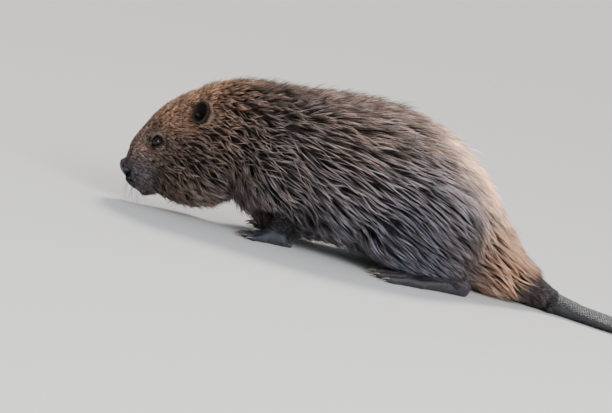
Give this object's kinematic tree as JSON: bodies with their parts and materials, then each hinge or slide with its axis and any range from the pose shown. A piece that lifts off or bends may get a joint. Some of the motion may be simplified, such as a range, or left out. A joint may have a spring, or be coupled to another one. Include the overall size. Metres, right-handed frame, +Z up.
{
  "type": "beaver",
  "caption": "Life-size crouching beaver with lowered head, long damp brown fur, webbed hind feet and a flat scaly tail laid on the floor.",
  "frame": {"origin": "on the ground under the middle of the animal's bounding box", "axes": "+Z up; the animal faces -X, its left side is on -Y, its tail lies along +X"},
  "size_m": [0.9952, 0.3384, 0.2687],
  "materials": {
    "head_fur": "short dense fur, dull",
    "body_fur": "long damp guard hairs, soft sheen",
    "leg_fur": "short damp fur, soft sheen",
    "bare_skin": "bare creased skin, satin",
    "nose_skin": "bare pebbled skin, moist",
    "claw_horn": "horn, satin",
    "tail_scale": "scaly skin, damp satin",
    "eye": "wet, glossy"
  },
  "bodies": {
    "root": {"ear_left": "head_fur", "ear_right": "head_fur", "eye_left": "eye", "eye_right": "eye", "foot_claw_left_1": "claw_horn", "foot_claw_left_2": "claw_horn", "foot_claw_left_3": "claw_horn", "foot_claw_left_4": "claw_horn", "foot_claw_left_5": "claw_horn", "foot_claw_right_1": "claw_horn", "foot_claw_right_2": "claw_horn", "foot_claw_right_3": "claw_horn", "foot_claw_right_4": "claw_horn", "foot_claw_right_5": "claw_horn", "foot_left": "bare_skin", "foot_right": "bare_skin", "forearm_left": "leg_fur", "forearm_right": "leg_fur", "hand_claw_left_1": "claw_horn", "hand_claw_left_2": "claw_horn", "hand_claw_left_3": "claw_horn", "hand_claw_left_4": "claw_horn", "hand_claw_left_5": "claw_horn", "hand_claw_right_1": "claw_horn", "hand_claw_right_2": "claw_horn", "hand_claw_right_3": "claw_horn", "hand_claw_right_4": "claw_horn", "hand_claw_right_5": "claw_horn", "hand_left": "bare_skin", "hand_right": "bare_skin", "head": "head_fur", "lower_jaw": "head_fur", "muzzle": "head_fur", "neck": "body_fur", "nose": "nose_skin", "shank_left": "leg_fur", "shank_right": "leg_fur", "tail_blade": "tail_scale", "tail_root": "body_fur", "thigh_left": "body_fur", "thigh_right": "body_fur", "trunk": "body_fur", "upper_arm_left": "body_fur", "upper_arm_right": "body_fur"}
  },
  "joints": []
}
